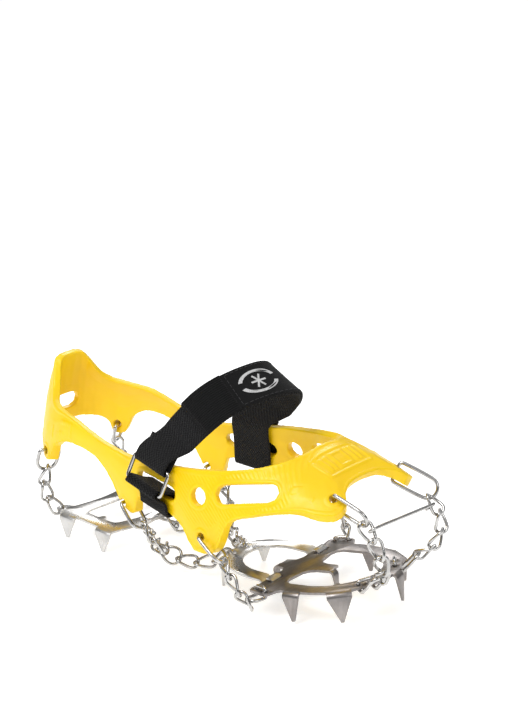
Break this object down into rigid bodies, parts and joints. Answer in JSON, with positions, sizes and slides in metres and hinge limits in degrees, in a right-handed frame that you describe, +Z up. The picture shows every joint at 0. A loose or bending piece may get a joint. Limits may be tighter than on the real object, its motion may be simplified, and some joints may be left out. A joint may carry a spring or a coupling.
{
  "type": "shoe ice cleats",
  "caption": "Slip-on ice cleats for one shoe: yellow elastomer harness, spiked steel plates joined by short chains, and a webbing strap over the instep.",
  "frame": {"origin": "middle of the footprint, on the ground under the spikes", "axes": "+Z up, the toe points to -Y, the outer side of a right shoe is at -X"},
  "size_m": [0.1125, 0.269, 0.1288],
  "materials": {
    "yellow_elastomer": "satin, moulded",
    "dark_steel_sheet": "dark, satin",
    "steel_sheet": "satin",
    "polished_wire": "polished",
    "black_webbing": "woven"
  },
  "bodies": {
    "harness": {"harness": "yellow_elastomer", "fore_plate": "dark_steel_sheet", "heel_plate": "steel_sheet", "strap": "black_webbing", "ring_loop": "black_webbing"},
    "flex_plate": {"flex_plate": "steel_sheet"},
    "joint_link_inner": {"joint_link_inner": "polished_wire"},
    "joint_link_outer": {"joint_link_outer": "polished_wire"},
    "link_arch_inner_1": {"link_arch_inner_1": "polished_wire"},
    "link_arch_inner_2": {"link_arch_inner_2": "polished_wire"},
    "link_arch_outer_1": {"link_arch_outer_1": "polished_wire"},
    "link_arch_outer_2": {"link_arch_outer_2": "polished_wire"},
    "link_ball_inner_1": {"link_ball_inner_1": "polished_wire"},
    "link_ball_inner_2": {"link_ball_inner_2": "polished_wire"},
    "link_ball_outer_1": {"link_ball_outer_1": "polished_wire"},
    "link_ball_outer_2": {"link_ball_outer_2": "polished_wire"},
    "link_ball_outer_3": {"link_ball_outer_3": "polished_wire"},
    "link_fore_inner_1": {"link_fore_inner_1": "polished_wire"},
    "link_fore_inner_2": {"link_fore_inner_2": "polished_wire"},
    "link_fore_inner_3": {"link_fore_inner_3": "polished_wire"},
    "link_fore_outer_1": {"link_fore_outer_1": "polished_wire"},
    "link_fore_outer_2": {"link_fore_outer_2": "polished_wire"},
    "link_fore_outer_3": {"link_fore_outer_3": "polished_wire"},
    "link_heel_inner_1": {"link_heel_inner_1": "polished_wire"},
    "link_heel_inner_2": {"link_heel_inner_2": "polished_wire"},
    "link_heel_inner_3": {"link_heel_inner_3": "polished_wire"},
    "link_heel_outer_1": {"link_heel_outer_1": "polished_wire"},
    "link_heel_outer_2": {"link_heel_outer_2": "polished_wire"},
    "link_heel_outer_3": {"link_heel_outer_3": "polished_wire"},
    "link_rear_inner_1": {"link_rear_inner_1": "polished_wire"},
    "link_rear_inner_2": {"link_rear_inner_2": "polished_wire"},
    "link_rear_inner_3": {"link_rear_inner_3": "polished_wire"},
    "link_rear_inner_4": {"link_rear_inner_4": "polished_wire"},
    "link_rear_outer_1": {"link_rear_outer_1": "polished_wire"},
    "link_rear_outer_2": {"link_rear_outer_2": "polished_wire"},
    "link_rear_outer_3": {"link_rear_outer_3": "polished_wire"},
    "link_rear_outer_4": {"link_rear_outer_4": "polished_wire"},
    "link_toe_inner_1": {"link_toe_inner_1": "polished_wire"},
    "link_toe_inner_2": {"link_toe_inner_2": "polished_wire"},
    "link_toe_inner_3": {"link_toe_inner_3": "polished_wire"},
    "link_toe_inner_4": {"link_toe_inner_4": "polished_wire"},
    "link_toe_outer_1": {"link_toe_outer_1": "polished_wire"},
    "link_toe_outer_2": {"link_toe_outer_2": "polished_wire"},
    "link_toe_outer_3": {"link_toe_outer_3": "polished_wire"},
    "link_toe_outer_4": {"link_toe_outer_4": "polished_wire"},
    "plate_shackle_ball_inner": {"plate_shackle_ball_inner": "polished_wire"},
    "plate_shackle_ball_outer": {"plate_shackle_ball_outer": "polished_wire"},
    "plate_shackle_toe_inner": {"plate_shackle_toe_inner": "polished_wire"},
    "plate_shackle_toe_outer": {"plate_shackle_toe_outer": "polished_wire"},
    "shackle_arch_inner": {"shackle_arch_inner": "polished_wire"},
    "shackle_arch_outer": {"shackle_arch_outer": "polished_wire"},
    "shackle_ball_inner": {"shackle_ball_inner": "polished_wire"},
    "shackle_ball_outer": {"shackle_ball_outer": "polished_wire"},
    "shackle_heel_inner": {"shackle_heel_inner": "polished_wire"},
    "shackle_heel_outer": {"shackle_heel_outer": "polished_wire"},
    "shackle_toe_inner": {"shackle_toe_inner": "polished_wire"},
    "shackle_toe_outer": {"shackle_toe_outer": "polished_wire"},
    "strap_flap": {"strap_flap": "black_webbing"},
    "strap_ring": {"strap_ring": "polished_wire"},
    "toe_wire": {"toe_wire": "polished_wire"}
  },
  "joints": [
    {"name": "ball_outer_sway", "type": "hinge", "parent": "harness", "child": "shackle_ball_outer", "pos_m": [-0.04798, -0.02855, 0.04227], "axis": [-0.9846, 0, 0.1751], "range_deg": [-0.9, 2.6]},
    {"name": "ball_outer_link_1_turn", "type": "hinge", "parent": "shackle_ball_outer", "child": "link_ball_outer_1", "pos_m": [-0.04901, -0.04355, 0.03268], "axis": [-0.9846, 0, 0.1751], "range_deg": [-12.66, 12.66]},
    {"name": "ball_outer_link_2_turn", "type": "hinge", "parent": "link_ball_outer_1", "child": "link_ball_outer_2", "pos_m": [-0.05223, -0.05056, 0.02527], "axis": [-0.9846, 0, 0.1751], "range_deg": [-7.46, 7.46]},
    {"name": "ball_outer_link_3_turn", "type": "hinge", "parent": "link_ball_outer_2", "child": "link_ball_outer_3", "pos_m": [-0.05165, -0.05686, 0.01664], "axis": [-0.9846, 0, 0.1751], "range_deg": [-11.88, 11.88]},
    {"name": "ball_inner_sway", "type": "hinge", "parent": "harness", "child": "shackle_ball_inner", "pos_m": [0.04624, -0.02473, 0.04227], "axis": [0.9823, 0.0667, 0.1748], "range_deg": [-0.6, 0.6]},
    {"name": "ball_inner_link_1_turn", "type": "hinge", "parent": "shackle_ball_inner", "child": "link_ball_inner_1", "pos_m": [0.04911, -0.04527, 0.02941], "axis": [0.9823, 0.0667, 0.1748], "range_deg": [-8.05, 8.05]},
    {"name": "ball_inner_link_2_turn", "type": "hinge", "parent": "link_ball_inner_1", "child": "link_ball_inner_2", "pos_m": [0.05249, -0.04937, 0.02013], "axis": [0.9823, 0.0667, 0.1748], "range_deg": [-13.89, 13.89]},
    {"name": "arch_outer_sway", "type": "hinge", "parent": "harness", "child": "shackle_arch_outer", "pos_m": [-0.03718, 0.04051, 0.04184], "axis": [-0.9945, 0.0875, 0.0572], "range_deg": [-1.9, 3.2]},
    {"name": "arch_outer_link_1_turn", "type": "hinge", "parent": "shackle_arch_outer", "child": "link_arch_outer_1", "pos_m": [-0.0371, 0.02909, 0.03026], "axis": [-0.9945, 0.0875, 0.0572], "range_deg": [-0.67, 0.67]},
    {"name": "arch_outer_link_2_turn", "type": "hinge", "parent": "link_arch_outer_1", "child": "link_arch_outer_2", "pos_m": [-0.03547, 0.02353, 0.02127], "axis": [-0.9945, 0.0875, 0.0572], "range_deg": [-12.26, 12.26]},
    {"name": "arch_inner_sway", "type": "hinge", "parent": "harness", "child": "shackle_arch_inner", "pos_m": [0.03464, 0.04064, 0.04184], "axis": [0.9975, 0.0413, 0.0575], "range_deg": [-3.4, 3.4]},
    {"name": "arch_inner_link_1_turn", "type": "hinge", "parent": "shackle_arch_inner", "child": "link_arch_inner_1", "pos_m": [0.03423, 0.02931, 0.03027], "axis": [0.9975, 0.0413, 0.0575], "range_deg": [-1.41, 1.41]},
    {"name": "arch_inner_link_2_turn", "type": "hinge", "parent": "link_arch_inner_1", "child": "link_arch_inner_2", "pos_m": [0.03478, 0.02494, 0.02052], "axis": [0.9975, 0.0413, 0.0575], "range_deg": [-11.8, 11.8]},
    {"name": "heel_outer_sway", "type": "hinge", "parent": "harness", "child": "shackle_heel_outer", "pos_m": [-0.02842, 0.11235, 0.05374], "axis": [-0.9142, 0.3714, 0.162], "range_deg": [-4, 4]},
    {"name": "heel_outer_link_1_turn", "type": "hinge", "parent": "shackle_heel_outer", "child": "link_heel_outer_1", "pos_m": [-0.0279, 0.11591, 0.04148], "axis": [-0.9142, 0.3714, 0.162], "range_deg": [-9.63, 9.63]},
    {"name": "heel_outer_link_2_turn", "type": "hinge", "parent": "link_heel_outer_1", "child": "link_heel_outer_2", "pos_m": [-0.02965, 0.11796, 0.03113], "axis": [-0.9142, 0.3714, 0.162], "range_deg": [-3.03, 3.03]},
    {"name": "heel_outer_link_3_turn", "type": "hinge", "parent": "link_heel_outer_2", "child": "link_heel_outer_3", "pos_m": [-0.02799, 0.11661, 0.02064], "axis": [-0.9142, 0.3714, 0.162], "range_deg": [-6.46, 6.46]},
    {"name": "heel_inner_sway", "type": "hinge", "parent": "harness", "child": "shackle_heel_inner", "pos_m": [0.0321, 0.11249, 0.05373], "axis": [0.9441, 0.284, 0.1673], "range_deg": [-4, 4]},
    {"name": "heel_inner_link_1_turn", "type": "hinge", "parent": "shackle_heel_inner", "child": "link_heel_inner_1", "pos_m": [0.03255, 0.1161, 0.04159], "axis": [0.9441, 0.284, 0.1673], "range_deg": [-10.99, 10.99]},
    {"name": "heel_inner_link_2_turn", "type": "hinge", "parent": "link_heel_inner_1", "child": "link_heel_inner_2", "pos_m": [0.0358, 0.11663, 0.03141], "axis": [0.9441, 0.284, 0.1673], "range_deg": [-4.26, 4.26]},
    {"name": "heel_inner_link_3_turn", "type": "hinge", "parent": "link_heel_inner_2", "child": "link_heel_inner_3", "pos_m": [0.0362, 0.11415, 0.02101], "axis": [0.9441, 0.284, 0.1673], "range_deg": [-8.1, 8.1]},
    {"name": "toe_sway", "type": "hinge", "parent": "harness", "child": "shackle_toe_outer", "pos_m": [-0.02493, -0.10226, 0.07455], "axis": [-0.4275, -0.2604, 0.8657], "range_deg": [-2.4, 1]},
    {"name": "toe_outer_link_1_turn", "type": "hinge", "parent": "shackle_toe_outer", "child": "link_toe_outer_1", "pos_m": [-0.02308, -0.12064, 0.0658], "axis": [-0.4275, -0.2604, 0.8657], "range_deg": [-5.43, 5.43]},
    {"name": "toe_outer_link_2_turn", "type": "hinge", "parent": "link_toe_outer_1", "child": "link_toe_outer_2", "pos_m": [-0.02293, -0.12744, 0.05755], "axis": [-0.4275, -0.2604, 0.8657], "range_deg": [-6.82, 6.82]},
    {"name": "toe_outer_link_3_turn", "type": "hinge", "parent": "link_toe_outer_2", "child": "link_toe_outer_3", "pos_m": [-0.02072, -0.13049, 0.04753], "axis": [-0.4275, -0.2604, 0.8657], "range_deg": [-12.19, 12.19]},
    {"name": "toe_outer_link_4_turn", "type": "hinge", "parent": "link_toe_outer_3", "child": "link_toe_outer_4", "pos_m": [-0.01686, -0.1292, 0.03763], "axis": [-0.4275, -0.2604, 0.8657], "range_deg": [-9.79, 9.79]},
    {"name": "toe_inner_sway", "type": "hinge", "parent": "harness", "child": "shackle_toe_inner", "pos_m": [0.03027, -0.10232, 0.07457], "axis": [0.4317, -0.2175, 0.8754], "range_deg": [-2.44, 2.44]},
    {"name": "toe_inner_link_1_turn", "type": "hinge", "parent": "shackle_toe_inner", "child": "link_toe_inner_1", "pos_m": [0.03478, -0.12137, 0.06326], "axis": [0.4317, -0.2175, 0.8754], "range_deg": [-4.73, 4.73]},
    {"name": "toe_inner_link_2_turn", "type": "hinge", "parent": "link_toe_inner_1", "child": "link_toe_inner_2", "pos_m": [0.03591, -0.12853, 0.05539], "axis": [0.4317, -0.2175, 0.8754], "range_deg": [-0.1, 0.1]},
    {"name": "toe_inner_link_3_turn", "type": "hinge", "parent": "link_toe_inner_2", "child": "link_toe_inner_3", "pos_m": [0.03463, -0.13084, 0.04502], "axis": [0.4317, -0.2175, 0.8754], "range_deg": [-2.76, 2.76]},
    {"name": "toe_inner_link_4_turn", "type": "hinge", "parent": "link_toe_inner_3", "child": "link_toe_inner_4", "pos_m": [0.03134, -0.12756, 0.03538], "axis": [0.4317, -0.2175, 0.8754], "range_deg": [-2.78, 2.78]},
    {"name": "toe_wire_turn", "type": "hinge", "parent": "harness", "child": "toe_wire", "pos_m": [0.00617, -0.0945, 0.00854], "axis": [0, 0.866, 0.5], "range_deg": [-0.76, 0.76]},
    {"name": "toe_outer_plate_shackle_turn", "type": "hinge", "parent": "harness", "child": "plate_shackle_toe_outer", "pos_m": [-0.00883, -0.11125, 0.02297], "axis": [-0.8867, 0.455, -0.0824], "range_deg": [-1.1, 1.1]},
    {"name": "toe_inner_plate_shackle_turn", "type": "hinge", "parent": "harness", "child": "plate_shackle_toe_inner", "pos_m": [0.02165, -0.10853, 0.02297], "axis": [0.7921, 0.6049, -0.0824], "range_deg": [-1.1, 1.1]},
    {"name": "ball_outer_plate_shackle_turn", "type": "hinge", "parent": "harness", "child": "plate_shackle_ball_outer", "pos_m": [-0.03853, -0.06196, 0.01496], "axis": [0.2715, 0.9518, -0.143], "range_deg": [-1.1, 1.1]},
    {"name": "ball_inner_plate_shackle_turn", "type": "hinge", "parent": "harness", "child": "plate_shackle_ball_inner", "pos_m": [0.04215, -0.05476, 0.01496], "axis": [-0.4357, 0.8886, -0.143], "range_deg": [-1.1, 1.1]},
    {"name": "rear_outer_sway", "type": "hinge", "parent": "harness", "child": "link_rear_outer_1", "pos_m": [-0.02554, 0.02143, 0.01305], "axis": [0, 0, 1], "range_deg": [-1.86, 1.86]},
    {"name": "rear_outer_link_2_turn", "type": "hinge", "parent": "link_rear_outer_1", "child": "link_rear_outer_2", "pos_m": [-0.02103, 0.03045, 0.00947], "axis": [0, 0, 1], "range_deg": [-4.25, 4.25]},
    {"name": "rear_outer_link_3_turn", "type": "hinge", "parent": "link_rear_outer_2", "child": "link_rear_outer_3", "pos_m": [-0.01587, 0.03975, 0.00831], "axis": [0, 0, 1], "range_deg": [-1.24, 1.24]},
    {"name": "rear_outer_link_4_turn", "type": "hinge", "parent": "link_rear_outer_3", "child": "link_rear_outer_4", "pos_m": [-0.01035, 0.04882, 0.00963], "axis": [0, 0, 1], "range_deg": [-2.66, 2.66]},
    {"name": "rear_inner_sway", "type": "hinge", "parent": "harness", "child": "link_rear_inner_1", "pos_m": [0.02502, 0.02239, 0.0132], "axis": [0, 0, 1], "range_deg": [-1.99, 1.99]},
    {"name": "rear_inner_link_2_turn", "type": "hinge", "parent": "link_rear_inner_1", "child": "link_rear_inner_2", "pos_m": [0.02216, 0.03056, 0.0069], "axis": [0, 0, 1], "range_deg": [-4.26, 4.26]},
    {"name": "rear_inner_link_3_turn", "type": "hinge", "parent": "link_rear_inner_2", "child": "link_rear_inner_3", "pos_m": [0.0178, 0.04007, 0.0047], "axis": [0, 0, 1], "range_deg": [-1.2, 1.2]},
    {"name": "rear_inner_link_4_turn", "type": "hinge", "parent": "link_rear_inner_3", "child": "link_rear_inner_4", "pos_m": [0.01273, 0.04921, 0.00699], "axis": [0, 0, 1], "range_deg": [-2.7, 2.7]},
    {"name": "flex_turn", "type": "hinge", "parent": "harness", "child": "flex_plate", "pos_m": [0.00131, -0.05285, 0.0141], "axis": [-0.996, -0.0889, 0], "range_deg": [-4, 3]},
    {"name": "fore_outer_joint_link_turn", "type": "hinge", "parent": "harness", "child": "joint_link_outer", "pos_m": [-0.0288, 0.02145, 0.0136], "axis": [-0.8634, -0.5045, 0], "range_deg": [-3.74, 3.74]},
    {"name": "fore_outer_link_3_turn", "type": "hinge", "parent": "joint_link_outer", "child": "link_fore_outer_3", "pos_m": [-0.02504, 0.01258, 0.00894], "axis": [-0.8634, -0.5045, 0], "range_deg": [-1.22, 1.22]},
    {"name": "fore_outer_link_2_turn", "type": "hinge", "parent": "link_fore_outer_3", "child": "link_fore_outer_2", "pos_m": [-0.02006, 0.00324, 0.00739], "axis": [-0.8634, -0.5045, 0], "range_deg": [-0.41, 0.41]},
    {"name": "fore_outer_link_1_turn", "type": "hinge", "parent": "link_fore_outer_2", "child": "link_fore_outer_1", "pos_m": [-0.01438, -0.00566, 0.0091], "axis": [-0.8634, -0.5045, 0], "range_deg": [-0.82, 0.82]},
    {"name": "fore_inner_joint_link_turn", "type": "hinge", "parent": "harness", "child": "joint_link_inner", "pos_m": [0.0276, 0.02195, 0.0136], "axis": [-0.8265, 0.5629, 0], "range_deg": [-3.65, 3.65]},
    {"name": "fore_inner_link_3_turn", "type": "hinge", "parent": "joint_link_inner", "child": "link_fore_inner_3", "pos_m": [0.02263, 0.01311, 0.01017], "axis": [-0.8265, 0.5629, 0], "range_deg": [-1.15, 1.15]},
    {"name": "fore_inner_link_2_turn", "type": "hinge", "parent": "link_fore_inner_3", "child": "link_fore_inner_2", "pos_m": [0.01689, 0.00416, 0.00906], "axis": [-0.8265, 0.5629, 0], "range_deg": [-0.42, 0.42]},
    {"name": "fore_inner_link_1_turn", "type": "hinge", "parent": "link_fore_inner_2", "child": "link_fore_inner_1", "pos_m": [0.01067, -0.00446, 0.01032], "axis": [-0.8265, 0.5629, 0], "range_deg": [-0.8, 0.8]},
    {"name": "strap_ring_tilt", "type": "hinge", "parent": "harness", "child": "strap_ring", "pos_m": [-0.05201, 0.01257, 0.06264], "axis": [-0.1005, -0.9744, -0.2009], "range_deg": [-1.5, 1.5]},
    {"name": "strap_flap_peel", "type": "hinge", "parent": "harness", "child": "strap_flap", "pos_m": [0.0418, 0.00335, 0.0816], "axis": [-0.1203, 0.9927, 0], "range_deg": [0, 75]}
  ],
  "couplings": [
    {"joint": "ball_outer_link_1_turn", "follows": "ball_outer_sway", "ratio": -4.6193},
    {"joint": "ball_outer_link_2_turn", "follows": "ball_outer_sway", "ratio": 2.7143},
    {"joint": "ball_outer_link_3_turn", "follows": "ball_outer_sway", "ratio": 4.3316},
    {"joint": "ball_inner_link_1_turn", "follows": "ball_inner_sway", "ratio": -12.7},
    {"joint": "ball_inner_link_2_turn", "follows": "ball_inner_sway", "ratio": 21.975},
    {"joint": "arch_outer_link_1_turn", "follows": "arch_outer_sway", "ratio": -0.1844},
    {"joint": "arch_outer_link_2_turn", "follows": "arch_outer_sway", "ratio": -3.6344},
    {"joint": "arch_inner_link_1_turn", "follows": "arch_inner_sway", "ratio": -0.3803},
    {"joint": "arch_inner_link_2_turn", "follows": "arch_inner_sway", "ratio": -3.2904},
    {"joint": "heel_outer_link_1_turn", "follows": "heel_outer_sway", "ratio": -2.2809},
    {"joint": "heel_outer_link_2_turn", "follows": "heel_outer_sway", "ratio": 0.7104},
    {"joint": "heel_outer_link_3_turn", "follows": "heel_outer_sway", "ratio": 1.5257},
    {"joint": "heel_inner_link_1_turn", "follows": "heel_inner_sway", "ratio": -2.6047},
    {"joint": "heel_inner_link_2_turn", "follows": "heel_inner_sway", "ratio": 1.0034},
    {"joint": "heel_inner_link_3_turn", "follows": "heel_inner_sway", "ratio": 1.9174},
    {"joint": "toe_outer_link_1_turn", "follows": "toe_sway", "ratio": -2.1348},
    {"joint": "toe_outer_link_2_turn", "follows": "toe_sway", "ratio": 2.6863},
    {"joint": "toe_outer_link_3_turn", "follows": "toe_sway", "ratio": 4.8192},
    {"joint": "toe_outer_link_4_turn", "follows": "toe_sway", "ratio": 3.8641},
    {"joint": "toe_inner_sway", "follows": "toe_sway", "ratio": 0.9499},
    {"joint": "toe_inner_link_1_turn", "follows": "toe_sway", "ratio": -1.8579},
    {"joint": "toe_inner_link_2_turn", "follows": "toe_sway", "ratio": -0.02},
    {"joint": "toe_inner_link_3_turn", "follows": "toe_sway", "ratio": 1.0762},
    {"joint": "toe_inner_link_4_turn", "follows": "toe_sway", "ratio": 1.0828},
    {"joint": "toe_wire_turn", "follows": "toe_sway", "ratio": 0.2354},
    {"joint": "toe_outer_plate_shackle_turn", "follows": "toe_sway", "ratio": 0.2},
    {"joint": "toe_inner_plate_shackle_turn", "follows": "toe_sway", "ratio": 0.2},
    {"joint": "ball_outer_plate_shackle_turn", "follows": "ball_outer_sway", "ratio": 0.2},
    {"joint": "ball_inner_plate_shackle_turn", "follows": "ball_inner_sway", "ratio": 0.2},
    {"joint": "rear_outer_link_2_turn", "follows": "rear_outer_sway", "ratio": -2.1509},
    {"joint": "rear_outer_link_3_turn", "follows": "rear_outer_sway", "ratio": 0.6071},
    {"joint": "rear_outer_link_4_turn", "follows": "rear_outer_sway", "ratio": 1.3375},
    {"joint": "rear_inner_link_2_turn", "follows": "rear_inner_sway", "ratio": -2.0137},
    {"joint": "rear_inner_link_3_turn", "follows": "rear_inner_sway", "ratio": 0.5517},
    {"joint": "rear_inner_link_4_turn", "follows": "rear_inner_sway", "ratio": 1.2663},
    {"joint": "fore_outer_joint_link_turn", "follows": "flex_turn", "ratio": -0.8779},
    {"joint": "fore_outer_link_3_turn", "follows": "flex_turn", "ratio": -0.2788},
    {"joint": "fore_outer_link_2_turn", "follows": "flex_turn", "ratio": 0.0868},
    {"joint": "fore_outer_link_1_turn", "follows": "flex_turn", "ratio": 0.183},
    {"joint": "fore_inner_joint_link_turn", "follows": "flex_turn", "ratio": -0.8583},
    {"joint": "fore_inner_link_3_turn", "follows": "flex_turn", "ratio": -0.2629},
    {"joint": "fore_inner_link_2_turn", "follows": "flex_turn", "ratio": 0.0886},
    {"joint": "fore_inner_link_1_turn", "follows": "flex_turn", "ratio": 0.1778}
  ]
}
